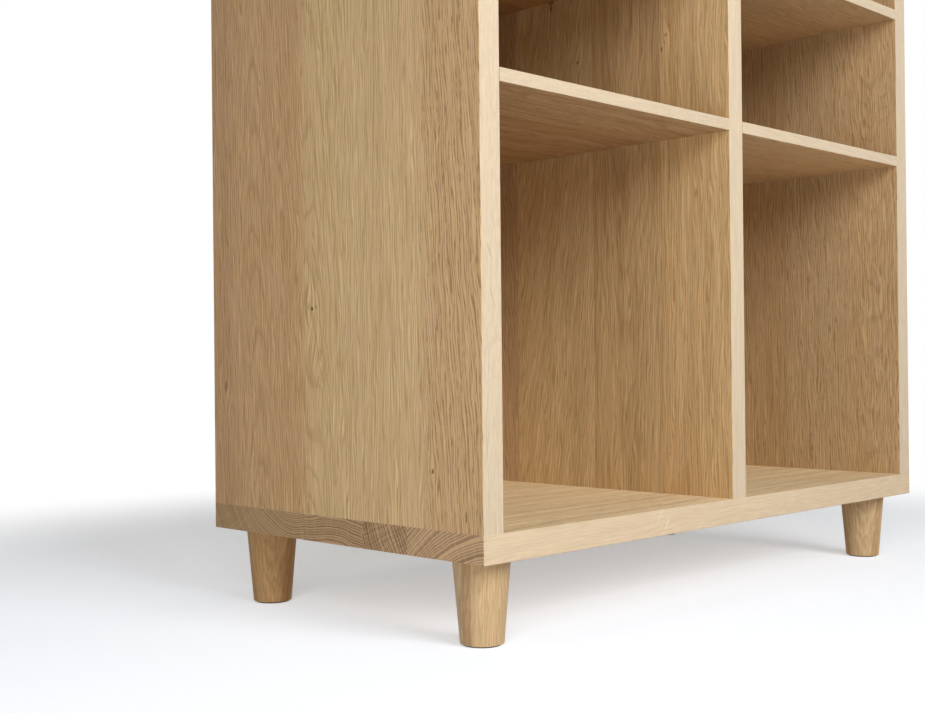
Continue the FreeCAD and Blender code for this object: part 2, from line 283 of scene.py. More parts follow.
def makeOakFigure():
    group = newOakGroup()
    given = group.nodes.new("NodeGroupInput").outputs
    result = group.nodes.new("NodeGroupOutput").inputs
    along, across, thick = separate(group, given["place"])
    pithAcross, pithThick, ringWidth = separate(group, given["pith"])
    leanAcross, leanThick, waviness = separate(group, given["lean"])
    ringShow, poreShow, bandShow = separate(group, given["show"])
    seed = given["seed"]
    seedShift = combine(group, *(calc(group, "MULTIPLY", seed, shift) for shift in oak["seedShifts"]))
    sunk = calc(group, "SUBTRACT", thick, calc(group, "MULTIPLY", leanThick, along))

    def step(name, value):
        return ramp(group, value, *oak["steps"][name])

    def layer(name, detail, sideways, shift=0.0, depth=1.0):
        # noise stretched along the grain
        length, width = oak[name + "Length"], oak[name + "Width"]
        scaled = combine(group, calc(group, "DIVIDE", along, length),
                         calc(group, "ADD", calc(group, "DIVIDE", sideways, width), shift),
                         calc(group, "ADD", calc(group, "DIVIDE", sunk, width * depth), shift))
        return noise(group, vectorCalc(group, "ADD", scaled, seedShift), detail)

    # the grain wanders sideways in slow waves and small ripples, and leans
    wave = swing(group, layer("wave", 1.5, across), oak["waveDepth"])
    ripple = swing(group, layer("ripple", 1.0, across), oak["rippleDepth"])
    bend = calc(group, "MULTIPLY", calc(group, "ADD", wave, ripple), waviness)
    upright = calc(group, "SUBTRACT", across, calc(group, "MULTIPLY", leanAcross, along))
    grain = calc(group, "ADD", upright, bend)

    # growth rings: pores open at the start of each year and close towards its end
    side = calc(group, "SUBTRACT", upright, pithAcross)
    deep = calc(group, "SUBTRACT", sunk, pithThick)
    squares = calc(group, "ADD", calc(group, "MULTIPLY", side, side), calc(group, "MULTIPLY", deep, deep))
    radius = calc(group, "SQRT", squares)
    season, yearTone = growthRings(group, radius, bend, ringWidth, seed)
    early = calc(group, "MULTIPLY", step("poresOpen", season), step("poresClose", season))
    ringLine = calc(group, "MULTIPLY", step("lineOpens", season), step("lineCloses", season))

    # fine lines side by side, a wave across the grain whose spacing drifts
    slanted = calc(group, "MULTIPLY_ADD", sunk, oak["lineSlant"], grain)
    turns = calc(group, "MULTIPLY_ADD", layer("drift", 1.0, grain), oak["driftTurns"],
                 calc(group, "DIVIDE", slanted, oak["lineSpacing"]))
    lines = calc(group, "SINE", calc(group, "MULTIPLY", turns, math.tau))
    lines = calc(group, "MULTIPLY_ADD", lines, 0.5, 0.5)
    softLines = calc(group, "MULTIPLY_ADD", calc(group, "SUBTRACT", lines, 0.5),
                     step("part", layer("part", 0.0, grain)), 0.5)

    # open pores: broken rows along the rings, and dashes along the crests of those lines
    rows = calc(group, "MULTIPLY", ringLine, step("row", layer("row", 0.0, grain)))
    rows = calc(group, "MULTIPLY", rows, oak["rowShare"])
    dashes = calc(group, "MULTIPLY", step("crest", lines), step("pore", layer("pore", 0.0, grain)))
    pores = calc(group, "MULTIPLY_ADD", dashes, oak["dashShare"], rows)
    pores = calc(group, "MULTIPLY", pores, poreShow, clamp=True)

    # fibres: two noises a little apart, taken from each other, leave thin lines and no broad patches
    fibre = calc(group, "SUBTRACT", layer("fibre", 0.0, grain, 0.0, oak["fibreDepth"]),
                 layer("fibre", 0.0, grain, oak["fibreStep"], oak["fibreDepth"]))
    fibre = step("fibre", fibre)
    inside = combine(group, along, across, thick)
    grit = noise(group, vectorCalc(group, "MULTIPLY", inside, (1.0 / oak["grit"],) * 3), 0.0)
    band = step("band", layer("band", 1.0, grain))

    figure = calc(group, "MULTIPLY_ADD", ringLine, ringShow,
                  calc(group, "MULTIPLY", calc(group, "SUBTRACT", band, 0.5), bandShow))
    for name, part in (("year", yearTone), ("fibre", fibre), ("lines", softLines), ("grit", grit)):
        figure = calc(group, "MULTIPLY_ADD", part, oak["weights"][name], figure)
    color = mixColor(group, figure, rgba(oak["pale"]), rgba(oak["dark"]))
    color = mixColor(group, step("blush", layer("blush", 1.5, grain)), color, rgba(oak["blush"]))
    color = mixColor(group, calc(group, "MULTIPLY", pores, oak["poreTint"]), color, rgba(oak["pore"]))
    plug(group, result["color"], color)
    plug(group, result["figure"], figure)
    plug(group, result["height"], calc(group, "MULTIPLY_ADD", fibre, -oak["fibreHollow"],
                                       calc(group, "MULTIPLY", pores, -oak["poreHollow"])))

    # across the grain the open pores show as dark rings, and the rays as fine lines between them
    speckle = noise(group, vectorCalc(group, "ADD", inside, seedShift))
    cut = calc(group, "MULTIPLY", early, calc(group, "MULTIPLY", speckle, oak["endPores"]))
    ray = step("ray", rayNoise(group, deep, side, along, radius, seedShift))
    rayShow = calc(group, "MULTIPLY_ADD", given["endRays"], oak["endRayShare"], -oak["endRayLift"])
    cut = calc(group, "ADD", cut, calc(group, "MULTIPLY", ray, rayShow))
    cut = calc(group, "MULTIPLY_ADD", yearTone, oak["endYear"], cut, clamp=True)
    plug(group, result["endColor"], mixColor(group, cut, rgba(oak["endPale"]), rgba(oak["endDark"])))
    return group


oakFigure = makeOakFigure()
print("oak figure done")


# Oak boards: the figure is placed in each stave, and then come its knots, ends and edges

usualBoard = {
    "soft": 0.0,             # mm over which the tone changes from stave to stave
    "glue": 0.2,             # how dark the glue lines are
    "calm": 0.0,             # how far the figure is evened out
    "closeness": 1.0,        # how close the figure is packed along the grain
    "knots": (), "paleEdgesAndPaintedTops": (), "edgeStreaks": (),
}
usualStave = {"rings": 0.1, "pores": 0.5, "bands": 0.1, "endRays": 0.1, "wavy": 1.0}
edgeGrain = {"length": 60.0, "width": 4.0, "turns": 3.0, "spacing": 3.0, "contrast": 0.035}    # mm
knotRag = {"size": 2.5, "depth": 0.3, "edge": (0.3, 0.6)}    # mm, and how uneven a knot's outline is
faceEdge = (0.6, 0.9)        # how squarely a face has to look along an axis
streakEdge = {"fadeFrom": 0.7, "softness": 0.06, "detail": 0.5}


def pickByStave(tree, across, edges, values, soft=0.0):
    # the value of the stave that this point lies in; soft: mm over which it changes
    picked = values[0]
    for edge, value in zip(edges, values[1:]):
        if soft:
            over = ramp(tree, across, edge - soft / 2, edge + soft / 2)
        else:
            over = calc(tree, "GREATER_THAN", across, edge)
        picked = mixVector(tree, over, picked, value)
    return picked


def framePlace(tree, middle, turn, order):
    # where the point is, in mm from the board's middle, as along, across, thick
    local = vectorCalc(tree, "SUBTRACT", objectPlace(tree), tuple(middle))
    scaled = vectorCalc(tree, "MULTIPLY", local, (toMm, toMm, toMm))
    if turn:
        scaled = turnRound(tree, scaled, -turn)
    parts = separate(tree, scaled)
    return [parts["XYZ".index(letter)] for letter in order]


def bendRoundKnots(tree, along, across, knots):
    # the grain flows round each knot, and its core is dark
    grain, dark = across, None
    if not knots:
        return grain, dark
    outline = noise(tree, cells(tree, (along, across), (knotRag["size"], knotRag["size"])))
    ragged = swing(tree, outline, knotRag["depth"])
    for knot in knots:
        up = calc(tree, "SUBTRACT", along, knot["along"])
        out = calc(tree, "SUBTRACT", across, knot["across"])

        def falloff(width, height):
            squares = calc(tree, "ADD", calc(tree, "POWER", calc(tree, "DIVIDE", out, width), 2.0),
                           calc(tree, "POWER", calc(tree, "DIVIDE", up, height), 2.0))
            return calc(tree, "EXPONENT", calc(tree, "MULTIPLY", squares, -1.0))

        if "reach" in knot:
            moved = calc(tree, "MULTIPLY_ADD", out, -knot["pull"], knot.get("push", 0.0))
            grain = calc(tree, "MULTIPLY_ADD", falloff(*knot["reach"]), moved, grain)
        if "core" in knot:
            core = calc(tree, "ADD", falloff(*knot["core"]), ragged)
            core = ramp(tree, core, *knotRag["edge"], 0.0, knot.get("depth", 1.0))
            dark = core if dark is None else calc(tree, "MAXIMUM", dark, core)
    return grain, dark


def faceMask(tree, normal, axis, sign=None):
    # 1 on the faces that look along an axis, to one side of it or to both
    part = normal["XYZ".index(axis)]
    part = calc(tree, "ABSOLUTE", part) if sign is None else calc(tree, "MULTIPLY", part, sign)
    return ramp(tree, part, *faceEdge)


def glueLines(tree, across, edges, strength):
    nearest = None
    for edge in edges:
        away = calc(tree, "ABSOLUTE", calc(tree, "SUBTRACT", across, edge))
        nearest = away if nearest is None else calc(tree, "MINIMUM", nearest, away)
    return ramp(tree, nearest, oak["glueLine"], oak["glueLine"] + oak["glueFade"], strength, 0.0)


def paleFace(tree, color, face, along, across, thick):
    # the board's color lifted and evened out, with fine drifting lines along it
    gain = [target / usual for target, usual in zip(face["color"], oak["usual"])]
    lifted = mixColor(tree, face["evenness"], tint(tree, color, rgba(gain)), rgba(face["color"]))
    length, width = face.get("length", edgeGrain["length"]), edgeGrain["width"]
    drift = noise(tree, cells(tree, (along, across, thick), (length, width, width)))
    turns = calc(tree, "MULTIPLY_ADD", drift, edgeGrain["turns"],
                 calc(tree, "DIVIDE", calc(tree, "ADD", across, thick), edgeGrain["spacing"]))
    line = calc(tree, "SINE", calc(tree, "MULTIPLY", turns, math.tau))
    line = calc(tree, "MULTIPLY_ADD", line, edgeGrain["contrast"], 1.0)
    return tint(tree, lifted, combine(tree, line, line, line))


def edgeStreaks(tree, along, thick, streaks):
    # slanting streaks on a front edge: pale where rays are cut nearly flat, dark where pores are cut open
    slope = math.radians(streaks["slope"])
    sine, cosine = math.sin(slope), math.cos(slope)
    run = calc(tree, "MULTIPLY_ADD", along, cosine, calc(tree, "MULTIPLY", thick, sine))
    beside = calc(tree, "MULTIPLY_ADD", along, -sine, calc(tree, "MULTIPLY", thick, cosine))
    lines = noise(tree, cells(tree, (run, beside), (streaks["length"], streaks["width"]), streaks["seed"]),
                  streakEdge["detail"])
    off = calc(tree, "ABSOLUTE", calc(tree, "SUBTRACT", along, streaks["along"]))
    reach, least = streaks["reach"], streaks["least"]
    window = ramp(tree, off, reach * streakEdge["fadeFrom"], reach, streaks["strength"], 0.0)
    return calc(tree, "MULTIPLY", ramp(tree, lines, least, least + streakEdge["softness"]), window)


def placeFigure(tree, board, staves, edges, along, across, grain, thick):
    # the oak figure with the pith, lean and strength of the stave that the point lies in
    seed = board["seed"]
    for edge in edges:
        seed = calc(tree, "MULTIPLY_ADD", calc(tree, "GREATER_THAN", across, edge), oak["staveStep"], seed)
    show = [(s["rings"], s["pores"], s["bands"]) for s in staves]
    endRays = pickByStave(tree, across, edges, [(s["endRays"], 0, 0) for s in staves])
    closeGrain = calc(tree, "MULTIPLY", along, board["closeness"])
    figure = tree.nodes.new("ShaderNodeGroup")
    figure.node_tree = oakFigure
    for socket, value in (
        ("place", combine(tree, closeGrain, grain, thick)),
        ("pith", pickByStave(tree, across, edges, [(*s["pith"], s["ring"]) for s in staves])),
        ("lean", pickByStave(tree, across, edges, [(*s["lean"], s["wavy"]) for s in staves])),
        ("show", pickByStave(tree, across, edges, show, board["soft"])),
        ("seed", seed),
        ("endRays", separate(tree, endRays)[0]),
    ):
        plug(tree, figure.inputs[socket], value)
    return figure.outputs


def oakMaterial(name, piece, order, board, turn=0.0):
    # order: the axes that are along, across and through the board. Its staves go from the lowest across up.
    material, tree, shader = newMaterial(name, oak)
    along, across, thick = framePlace(tree, middleOf(piece), turn, order)
    board = {**usualBoard, **board}
    staves = [{**usualStave, "endTone": stave["tone"], **stave} for stave in board["staves"]]
    edges = [stave["upTo"] for stave in staves[:-1]]
    grain, knotCore = bendRoundKnots(tree, along, across, board["knots"])
    figure = placeFigure(tree, board, staves, edges, along, across, grain, thick)
    tone = pickByStave(tree, across, edges, [s["tone"] for s in staves], board["soft"])
    color = mixColor(tree, board["calm"], figure["color"], rgba(oak["usual"]))
    color = tint(tree, color, tone)
    if knotCore is not None:
        color = mixColor(tree, knotCore, color, rgba(oak["knot"]))
    if edges:
        color = mixColor(tree, glueLines(tree, across, edges, board["glue"]), color, rgba(oak["pore"]))

    # cut ends show their rings, front edges are paler, and the top faces listed with them get painted light: a
    # lift to a lighter colour
    normal = separate(tree, tree.nodes.new("ShaderNodeNewGeometry").outputs["Normal"])
    endTone = pickByStave(tree, across, edges, [s["endTone"] for s in staves])
    endColor = tint(tree, figure["endColor"], endTone)
    color = mixColor(tree, faceMask(tree, normal, order[0]), color, endColor)
    for face in board["paleEdgesAndPaintedTops"]:
        lifted = paleFace(tree, color, face, along, across, thick)
        color = mixColor(tree, faceMask(tree, normal, face["axis"], face["sign"]), color, lifted)
    for streaks in board["edgeStreaks"]:
        mask = calc(tree, "MULTIPLY", edgeStreaks(tree, along, thick, streaks),
                    faceMask(tree, normal, "Y", -1.0))
        color = mixColor(tree, mask, color, rgba(streaks["color"]))
    plug(tree, shader.inputs["Base Color"], color)
    addRoughness(tree, shader, figure["figure"], oak)
    addBump(tree, shader, figure["height"], oak)
    return material


# The boards in view, in mm from the middle of each board. A stave goes upTo so far across. Its pith and
# lean are across and through the board, ring is how wide a year is, tone is a gain on the oak's color,
# wavy is how much the grain wanders, and rings, pores, bands and endRays are how strongly they show.

frontEdge = dict(axis="Y", sign=-1.0, color=(0.66, 0.535, 0.38), evenness=0.86)
shelfEdge = dict(frontEdge, length=7.0)
poreLine = (0.40, 0.27, 0.15)

# Left side, from the front edge to the back
leftSide = {
    "seed": 3.0, "paleEdgesAndPaintedTops": [frontEdge], "soft": 24.0, "glue": 0.06,
    "edgeStreaks": [
        dict(along=-230, reach=130, length=30.0, width=2.6, slope=-19,
             seed=1.3, strength=0.35, color=poreLine, least=0.68),
        dict(along=-420, reach=90, length=40.0, width=2.2, slope=-4,
             seed=2.3, strength=0.3, color=poreLine, least=0.68),
    ],
    "staves": [
        dict(upTo=-129, pith=(-240, 62), lean=(0.08, -0.01), ring=6.0, tone=(1.01, 0.97, 0.93),
             rings=0.06, pores=1.3, wavy=0.7, bands=0.06),
        dict(upTo=-18, pith=(-74, 62), lean=(0.0, 0.01), ring=3.0, tone=(1.10, 1.12, 1.10),
             rings=0.1, pores=0.35, wavy=0.6),
        dict(upTo=43, pith=(44, 70), lean=(0.0, 0.05), ring=3.3, tone=(1.11, 1.13, 1.08),
             rings=0.32, pores=0.3, wavy=1.8),
        dict(upTo=168, pith=(128, 52), lean=(0.02, 0.05), ring=3.0, tone=(0.98, 0.90, 0.84),
             rings=0.22, pores=0.5),
        dict(upTo=200, pith=(235, 55), lean=(0.0, 0.02), ring=2.8, tone=(0.89, 0.80, 0.75),
             rings=0.16, pores=0.6),
    ],
    "knots": [
        dict(along=-289, across=31, reach=(24, 50), pull=0.7, push=8.0, core=(1.7, 2.2)),
        dict(along=-287, across=25, core=(1.0, 2.0), depth=0.7),
        dict(along=-439, across=-138, reach=(9, 22), pull=0.7, core=(1.8, 2.4), depth=0.8),
        dict(along=-366, across=178, reach=(14, 30), pull=0.7, core=(3.0, 6.0), depth=0.4),
        dict(along=-476, across=-179, core=(0.9, 6.0), depth=0.8),
        dict(along=-205, across=40, reach=(24, 60), pull=-0.3, push=6.0),
    ],
}
finishNode("left_side", oakMaterial("oakLeftSide", "left_side", "ZYX", leftSide))

# Divider, as it is seen from the left bay
divider = {
    "seed": 5.0, "paleEdgesAndPaintedTops": [frontEdge], "glue": 0.45,
    "staves": [
        dict(upTo=-106, pith=(-216, 60), lean=(0.0, 0.02), ring=2.8, tone=(1.15, 1.15, 1.08),
             pores=0.5, bands=0.5),
        dict(upTo=-10, pith=(-58, 70), lean=(0.0, -0.03), ring=3.2, tone=(1.03, 1.05, 1.01),
             rings=0.26, pores=0.4, bands=0.5),
        dict(upTo=111, pith=(102, 60), lean=(-0.07, -0.07), ring=3.4, tone=(1.14, 1.22, 1.23),
             rings=0.2, pores=0.4, bands=0.3),
        dict(upTo=200, pith=(244, 60), lean=(0.04, 0.03), ring=2.6, tone=(0.97, 1.00, 1.08),
             pores=0.6),
    ],
    "knots": [
        dict(along=87, across=52, reach=(14, 34), pull=0.6, core=(5.0, 3.5), depth=0.7),
        dict(along=80, across=52, core=(2.2, 5.0), depth=0.7),
        dict(along=8, across=12, core=(1.2, 2.4), depth=0.8),
        dict(along=2, across=-109, reach=(14, 30), pull=0.35, core=(1.3, 3.0), depth=0.75),
        dict(along=9, across=-113, core=(1.2, 2.4), depth=0.35),
        dict(along=17, across=-115, reach=(12, 26), pull=0.3, core=(2.4, 2.2), depth=0.4),
    ],
}
finishNode("centre_divider", oakMaterial("oakDivider", "centre_divider", "ZYX", divider))

# Bottom board: its left end shows the rings of each stave
bottomBoard = {
    "seed": 8.0,
    "paleEdgesAndPaintedTops": [
        dict(axis="Y", sign=-1.0, color=(0.705, 0.55, 0.37), evenness=0.86),
        # painted light: the top face is lifted well above the wood's own colour, for light from above that the
        # lamps don't give
        dict(axis="Z", sign=1.0, color=(0.91, 0.72, 0.445), evenness=0.1),
    ],
    "edgeStreaks": [
        dict(along=-110, reach=56, length=22.0, width=2.4, slope=54,
             seed=0.9, strength=0.28, color=(0.90, 0.82, 0.66), least=0.64),
    ],
    "staves": [
        dict(upTo=-103, pith=(-252, -158), lean=(0.0, 0.01), ring=3.2, tone=(1.0, 1.0, 1.0),
             endTone=(1.0, 0.95, 0.93), rings=0.3, bands=0.5, pores=0.8),
        dict(upTo=-42, pith=(-180, 54), lean=(0.0, 0.01), ring=3.3, tone=(1.0, 1.0, 1.0),
             endTone=(0.88, 0.82, 0.77), rings=0.25, bands=0.6, endRays=0.8),
        dict(upTo=47, pith=(10, -260), lean=(0.0, 0.02), ring=2.7, tone=(1.0, 1.0, 1.0),
             endTone=(0.83, 0.77, 0.71), rings=0.25, bands=0.4, wavy=0.9),
        dict(upTo=200, pith=(62, 62), lean=(0.0, -0.01), ring=2.4, tone=(1.0, 1.0, 1.0),
             endTone=(0.83, 0.78, 0.69)),
    ],
}
finishNode("bottom_board", oakMaterial("oakBottomBoard", "bottom_board", "XYZ", bottomBoard))

# The thin shelf in view, and the one above it
# painted shade: the staves are darker than the wood, for the shade on the shelf's underside, and the painted
# lift on the top face (axis Z) brings the top back to the wood's colour
lowerShelf = {
    "seed": 11.0,
    "paleEdgesAndPaintedTops": [shelfEdge, dict(axis="Z", sign=1.0, color=(0.73, 0.525, 0.285), evenness=0.0)],
    "staves": [
        dict(upTo=-90, pith=(-170, -70), lean=(0.02, 0.03), ring=3.0, tone=(0.83, 0.79, 0.78),
             rings=0.3, pores=0.9, bands=0.5),
        dict(upTo=20, pith=(-30, -80), lean=(-0.03, -0.04), ring=3.2, tone=(0.79, 0.72, 0.68),
             rings=0.3, pores=0.9, bands=0.5),
        dict(upTo=200, pith=(120, -60), lean=(0.0, 0.04), ring=3.0, tone=(0.80, 0.735, 0.69),
             rings=0.2, pores=0.9, bands=0.4),
    ],
}
# painted shade: the staves are darker than the wood, for the deep shade under this shelf, and the painted lift
# on the top face (axis Z) brings the top back to the wood's colour
upperShelf = {
    "seed": 12.0, "glue": 0.7,
    "paleEdgesAndPaintedTops": [shelfEdge, dict(axis="Z", sign=1.0, color=(0.74, 0.58, 0.37), evenness=0.0)],
    "staves": [
        dict(upTo=96, pith=(40, -80), lean=(0.0, 0.03), ring=3.0, tone=(0.80, 0.68, 0.53)),
        dict(upTo=200, pith=(150, -60), lean=(0.0, 0.04), ring=3.0, tone=(0.72, 0.60, 0.48)),
    ],
}
finishNode("lower_left_shelf", oakMaterial("oakLowerShelf", "lower_left_shelf", "XYZ", lowerShelf))
finishNode("upper_left_shelf", oakMaterial("oakUpperShelf", "upper_left_shelf", "XYZ", upperShelf))
print("boards in view done")


# The boards that mirror them, and the thin back: staves of like widths and tones, drawn by seed

otherBoards = {
    "right_side": ("ZYX", 21), "top_board": ("XYZ", 22), "lower_right_shelf": ("XYZ", 23),
    "upper_right_shelf": ("XYZ", 24), "left_back_panel": ("ZXY", 25), "right_back_panel": ("ZXY", 26),
}
drawn = {
    "width": (64, 120), "leastWidth": 40,              # mm
    "warm": (-0.03, 0.03), "level": (0.90, 1.04),
    "pithAside": (-80, 80), "pithDepth": (50, 90),     # mm
    "leanAcross": (-0.02, 0.02), "leanThick": (-0.08, 0.08),
    "ring": (2.6, 3.5),                                # mm
    "rings": (0.07, 0.14), "pores": (0.3, 0.9), "endRays": (0.0, 0.6), "wavy": (0.7, 1.5),
}


def drawnStaves(seed, halfWidth):
    dice = random.Random(seed)

    def draw(name):
        return dice.uniform(*drawn[name])

    staves = []
    reach = -halfWidth
    while reach < halfWidth:
        width = draw("width")
        middle = reach + width / 2
        reach += width
        if halfWidth - reach < drawn["leastWidth"]:
            reach = halfWidth + 1
        warm = draw("warm")
        level = draw("level")
        staves.append(dict(
            upTo=reach,
            pith=(middle + draw("pithAside"), dice.choice((-1, 1)) * draw("pithDepth")),
            lean=(draw("leanAcross"), draw("leanThick")),
            ring=draw("ring"),
            tone=(level + warm, level, level - warm),
            rings=draw("rings"), pores=draw("pores"), endRays=draw("endRays"),
            wavy=draw("wavy"),
        ))
    return staves


for boardName, (order, seed) in otherBoards.items():
    low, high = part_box(boardName)
    halfWidth = (high - low)["XYZ".index(order[1])] / 2 * toMm
    board = {"seed": float(seed), "staves": drawnStaves(seed, halfWidth)}
    if "panel" not in boardName:
        board["paleEdgesAndPaintedTops"] = [frontEdge]
    finishNode(boardName, oakMaterial("oak_" + boardName, boardName, order, board))
print("other boards done")


# Legs, turned from glued blanks

legs = {
    "seed": 31.0, "closeness": 1.2, "calm": 0.35,
    "staves": [
        dict(upTo=-16, pith=(-60, 30), lean=(0.0, 0.0), ring=2.4, tone=(0.98, 1.0, 1.02),
             pores=0.2, wavy=0.3),
        dict(upTo=-8, pith=(-50, -60), lean=(0.0, 0.0), ring=2.2, tone=(0.86, 0.80, 0.74),
             pores=0.6, wavy=0.3),
        dict(upTo=40, pith=(10, 90), lean=(0.0, 0.02), ring=2.2, tone=(1.04, 1.04, 0.99),
             pores=0.4, wavy=0.3),
    ],
    "each": {
        "front_left_leg": dict(turn=-51, tone=(0.95, 0.965, 1.02)),
        "front_right_leg": dict(turn=20, tone=(1.0, 1.0, 1.0)),
        # painted shade: the back left leg stands under the case, and its colour is darker and warmer for the
        # shade there
        "back_left_leg": dict(turn=40, tone=(0.88, 0.76, 0.61)),
        "back_right_leg": dict(turn=100, tone=(0.96, 0.93, 0.9)),
    },
}
for legName, leg in legs["each"].items():
    blank = dict(legs, staves=[
        dict(stave, tone=[a * b for a, b in zip(stave["tone"], leg["tone"])]) for stave in legs["staves"]
    ])
    finishNode(legName, oakMaterial("oak_" + legName, legName, "ZXY", blank, turn=leg["turn"]))
print("legs done")


# Beech dowels: pinkish wood with short brown flecks along the rod

beechLook = {
    "pale": (0.66, 0.45, 0.28), "warm": (0.53, 0.33, 0.19), "fleck": (0.27, 0.14, 0.07),
    "grainLength": 9.0, "grainWidth": 0.6, "grainStep": (0.3, 0.7),       # mm, and where the noise rises
    "fleckLength": 1.8, "fleckWidth": 0.28, "fleckStep": (0.62, 0.72), "fleckWeight": 0.8,
    "specular": 0.3,
    "roughness": 0.5, "smoother": 0.06, "rougher": 0.08,
    "bump": 0.3, "bumpDepth": 0.0002,
}


def beechMaterial(axis):
    material, tree, shader = newMaterial("beechAlong" + axis, beechLook)
    place = objectPlace(tree)

    def sizes(kind):
        return [beechLook[kind + ("Length" if letter == axis else "Width")] for letter in "XYZ"]

    grain = ramp(tree, stretched(tree, place, sizes("grain")), *beechLook["grainStep"])
    fleck = ramp(tree, stretched(tree, place, sizes("fleck"), 0.0), *beechLook["fleckStep"],
                 0.0, beechLook["fleckWeight"])
    color = mixColor(tree, grain, rgba(beechLook["pale"]), rgba(beechLook["warm"]))
    plug(tree, shader.inputs["Base Color"], mixColor(tree, fleck, color, rgba(beechLook["fleck"])))
    addRoughness(tree, shader, grain, beechLook)
    addBump(tree, shader, calc(tree, "ADD", grain, fleck), beechLook)
    return material


beechAlongX = beechMaterial("X")
beechAlongZ = beechMaterial("Z")
for name in nodes:
    if name.endswith("joint_dowels"):
        finishNode(name, beechAlongZ)
    elif name.endswith("shelf_dowels"):
        finishNode(name, beechAlongX)


# Zinc-plated steel: cloudy plating, with fine scratches the ways in which it was rubbed

zincLook = {
    "bright": (0.76, 0.78, 0.80), "dull": (0.52, 0.53, 0.55), "stain": (0.42, 0.41, 0.38),
    "cloud": 3.5, "cloudDetail": 2.0, "cloudStep": (0.3, 0.7), "cloudShare": 0.6,    # size in mm
    "grain": 0.35, "grainShare": 0.4,
    "scratchLength": 9.0, "scratchWidth": 0.13, "scratchStep": (0.66, 0.74), "scratchTint": 0.4,
    "metallic": 1.0, "specular": 0.5,
    "roughness": 0.34, "smoother": 0.07, "rougher": 0.12, "figureRange": (0.2, 0.8),
    "bump": 0.25, "bumpDepth": 0.0001,
}


def zincMaterial(name, axes):
    material, tree, shader = newMaterial(name, zincLook)
    place = objectPlace(tree)
    cloud = stretched(tree, place, [zincLook["cloud"]] * 3, zincLook["cloudDetail"])
    cloud = ramp(tree, cloud, *zincLook["cloudStep"])
    grain = stretched(tree, place, [zincLook["grain"]] * 3)
    scratch = None
    for axis in axes:
        sizes = [zincLook["scratchLength" if letter == axis else "scratchWidth"] for letter in "XYZ"]
        line = ramp(tree, stretched(tree, place, sizes, 0.0), *zincLook["scratchStep"])
        scratch = line if scratch is None else calc(tree, "MAXIMUM", scratch, line)
    dull = calc(tree, "MULTIPLY_ADD", grain, zincLook["grainShare"],
                calc(tree, "MULTIPLY", cloud, zincLook["cloudShare"]))
    color = mixColor(tree, dull, rgba(zincLook["bright"]), rgba(zincLook["dull"]))
    stained = calc(tree, "MULTIPLY", scratch, zincLook["scratchTint"])
    plug(tree, shader.inputs["Base Color"], mixColor(tree, stained, color, rgba(zincLook["stain"])))
    addRoughness(tree, shader, dull, zincLook)
    addBump(tree, shader, calc(tree, "SUBTRACT", grain, scratch), zincLook)
    return material


finishNode("leg_studs", zincMaterial("zincStuds", "Z"))
finishNode("leg_insert_nuts", zincMaterial("zincNuts", "Z"))
finishNode("back_panel_screws", zincMaterial("zincPanelScrews", "XZ"))
finishNode("bracket_screws", zincMaterial("zincBracketScrews", "XY"))
for side in ("left", "right"):
    finishNode(side + "_wall_bracket", zincMaterial("zincBracket" + side.title(), "XZ"))


# Felt pads: crossing wool fibres, some of them pale

feltLook = {
    "wool": (0.13, 0.115, 0.10), "paleWool": (0.36, 0.33, 0.29),
    "fibreLength": 3.2, "fibreWidth": 0.16,     # mm
    "fibreTurns": (15, 75, 135),                # degrees, a layer of fibres for each
    "fibreStep": (0.45, 0.68),
    "patch": 2.2, "patchLift": 0.2,             # mm, and how pale the fibres are between the patches
    "roughness": 0.93, "smoother": 0.08, "specular": 0.1,
    "bump": 0.7, "bumpDepth": 0.0004,
}


def feltMaterial():
    material, tree, shader = newMaterial("felt", feltLook)
    place = objectPlace(tree)
    sizes = (feltLook["fibreLength"], feltLook["fibreWidth"], feltLook["fibreWidth"])
    fibres = None
    for degrees in feltLook["fibreTurns"]:
        layer = stretched(tree, turnRound(tree, place, degrees), sizes)
        layer = ramp(tree, layer, *feltLook["fibreStep"])
        fibres = layer if fibres is None else calc(tree, "MAXIMUM", fibres, layer)
    patch = stretched(tree, place, [feltLook["patch"]] * 3)
    shade = calc(tree, "MULTIPLY", fibres, calc(tree, "ADD", patch, feltLook["patchLift"]))
    plug(tree, shader.inputs["Base Color"],
         mixColor(tree, shade, rgba(feltLook["wool"]), rgba(feltLook["paleWool"])))
    plug(tree, shader.inputs["Roughness"],
         calc(tree, "MULTIPLY_ADD", shade, -feltLook["smoother"], feltLook["roughness"]))
    addBump(tree, shader, fibres, feltLook)
    return material


finishNode("leg_felt_pads", feltMaterial())
print("fittings done")


# Floor and background

floorLook = {
    "size": 14.0,                     # m, from edge to edge
    "bounce": (0.8, 0.8, 0.8),        # what it gives back to the case
    "shown": (0.745, 0.795, 0.87),    # how the camera sees it, under a glow that whitens its open parts
    "glow": 0.40,
    "fadeFrom": 0.7, "fadeTo": 1.3,   # m from the case's middle, where it turns into the white background
}


def seenDirectly(tree):
    # camera, mirror and glass rays see the white background
    path = tree.nodes.new("ShaderNodeLightPath").outputs
    seen = calc(tree, "MAXIMUM", path["Is Camera Ray"], path["Is Glossy Ray"])
    return calc(tree, "MAXIMUM", seen, path["Is Transmission Ray"])


